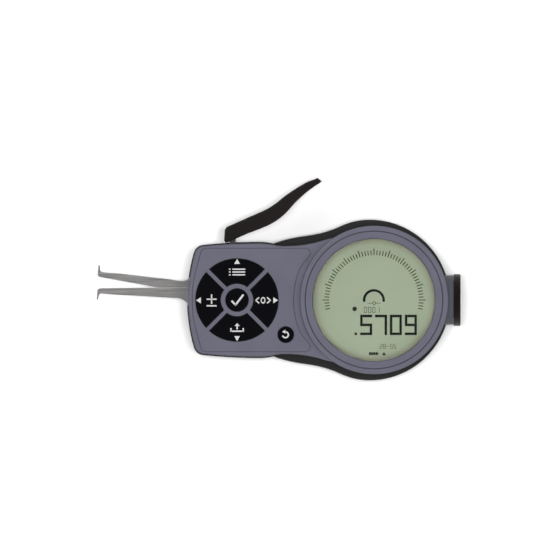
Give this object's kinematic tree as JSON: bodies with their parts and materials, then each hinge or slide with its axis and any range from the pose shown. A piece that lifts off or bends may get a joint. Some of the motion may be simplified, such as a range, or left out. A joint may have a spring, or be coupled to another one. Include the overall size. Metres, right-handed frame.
{
  "type": "internal caliper gauge",
  "caption": "Digital internal caliper gauge with two slender hooked measuring arms, a squeeze lever, a round display and a keypad.",
  "frame": {"origin": "where the display's axis meets the flat back that the gauge rests on", "axes": "+X from the measuring arms to the battery cap, +Y towards the lift lever, +Z out of the display"},
  "size_m": [0.1534, 0.0854, 0.0289],
  "materials": {
    "black_shell": "fine grained moulded plastic",
    "grey_shell": "fine grained moulded plastic",
    "grey_panel": "matt membrane",
    "bezel_plastic": "smooth matt",
    "black_key": "smooth, slightly rubbery",
    "clear_window": "polished acrylic",
    "lcd_glass": "matt polarised display",
    "circuit_board": "lacquered board",
    "rubber_black": "soft black rubber",
    "flex_film": "amber film",
    "plain_steel": "fine ground",
    "arm_steel": "fine ground, nickel grey",
    "carbide": "lapped hard metal",
    "spring_steel": "drawn wire",
    "brass": "turned",
    "encoder_glass": "graduated glass",
    "lever_plastic": "satin moulded plastic",
    "grey_boss": "moulded plastic",
    "cap_plastic": "satin moulded plastic",
    "cell_wrap": "plain shrink wrap",
    "nickel": "nickel plated spring strip"
  },
  "bodies": {
    "body": {"rear_shell": "black_shell", "front_shell": "grey_shell", "housing_screws": "plain_steel", "display_lens": "clear_window", "display_bezel": "bezel_plastic", "lcd_panel": "lcd_glass", "zebra_strips": "rubber_black", "main_board": "circuit_board", "keypad_panel": "grey_panel", "keypad_board": "circuit_board", "key_domes": "nickel", "flex_cable": "flex_film", "rear_plate": "brass", "front_plate": "brass", "plate_pillars": "brass", "pillar_nuts": "plain_steel", "sensor_board": "circuit_board", "fixed_arm": "arm_steel", "fixed_contact": "carbide", "fixed_arm_block": "plain_steel", "fixed_arm_screw": "plain_steel", "axle_bush_rear": "brass", "axle_bush_front": "brass", "stop_pin": "plain_steel", "measuring_spring": "spring_steel", "arm_slot_seal": "rubber_black", "lever_axle": "plain_steel", "lever_slot_seal": "rubber_black", "battery_tube": "grey_boss", "battery_cell": "cell_wrap", "battery_contact": "nickel"},
    "moving_arm_body": {"moving_arm": "arm_steel", "moving_contact": "carbide", "arm_axle": "plain_steel", "hub_nut": "plain_steel", "drive_pin": "plain_steel", "encoder_sector": "encoder_glass"},
    "lever_body": {"lift_lever": "lever_plastic", "lever_crank": "plain_steel"},
    "key_right_body": {"key_right": "black_key"},
    "key_up_body": {"key_up": "black_key"},
    "key_left_body": {"key_left": "black_key"},
    "key_down_body": {"key_down": "black_key"},
    "key_centre_body": {"key_centre": "black_key"},
    "key_reset_body": {"key_reset": "black_key"},
    "battery_cap_body": {"battery_cap": "cap_plastic"}
  },
  "joints": [
    {"name": "arm_swing", "type": "hinge", "parent": "body", "child": "moving_arm_body", "pos_m": [-0.0613, 0.00265, 0.01], "axis": [0, 0, 1], "range_deg": [0, 9.93], "stiffness_Nm_per_rad": 0.117, "springref_deg": -24.47, "deforming": ["measuring_spring"]},
    {"name": "lift_lever_swing", "type": "hinge", "parent": "body", "child": "lever_body", "pos_m": [-0.0596, 0.0185, 0.0157], "axis": [0, 0, 1], "range_deg": [-17.7, 0]},
    {"name": "key_right_press", "type": "slide", "parent": "body", "child": "key_right_body", "axis": [0, 0, -1], "range_m": [0, 0.0004], "stiffness_N_per_m": 600, "springref_m": -0.0005, "deforming": ["key_domes"]},
    {"name": "key_up_press", "type": "slide", "parent": "body", "child": "key_up_body", "axis": [0, 0, -1], "range_m": [0, 0.0004], "stiffness_N_per_m": 600, "springref_m": -0.0005, "deforming": ["key_domes"]},
    {"name": "key_left_press", "type": "slide", "parent": "body", "child": "key_left_body", "axis": [0, 0, -1], "range_m": [0, 0.0004], "stiffness_N_per_m": 600, "springref_m": -0.0005, "deforming": ["key_domes"]},
    {"name": "key_down_press", "type": "slide", "parent": "body", "child": "key_down_body", "axis": [0, 0, -1], "range_m": [0, 0.0004], "stiffness_N_per_m": 600, "springref_m": -0.0005, "deforming": ["key_domes"]},
    {"name": "key_centre_press", "type": "slide", "parent": "body", "child": "key_centre_body", "axis": [0, 0, -1], "range_m": [0, 0.0004], "stiffness_N_per_m": 600, "springref_m": -0.0005, "deforming": ["key_domes"]},
    {"name": "key_reset_press", "type": "slide", "parent": "body", "child": "key_reset_body", "axis": [0, 0, -1], "range_m": [0, 0.0004], "stiffness_N_per_m": 600, "springref_m": -0.0005, "deforming": ["key_domes"]},
    {"name": "battery_cap_turn", "type": "hinge", "parent": "body", "child": "battery_cap_body", "pos_m": [0.0335, 0, 0.01232], "axis": [1, 0, 0], "range_deg": [0, 90]}
  ],
  "couplings": [
    {"joint": "lift_lever_swing", "follows": "arm_swing", "ratio": -1.7815}
  ]
}
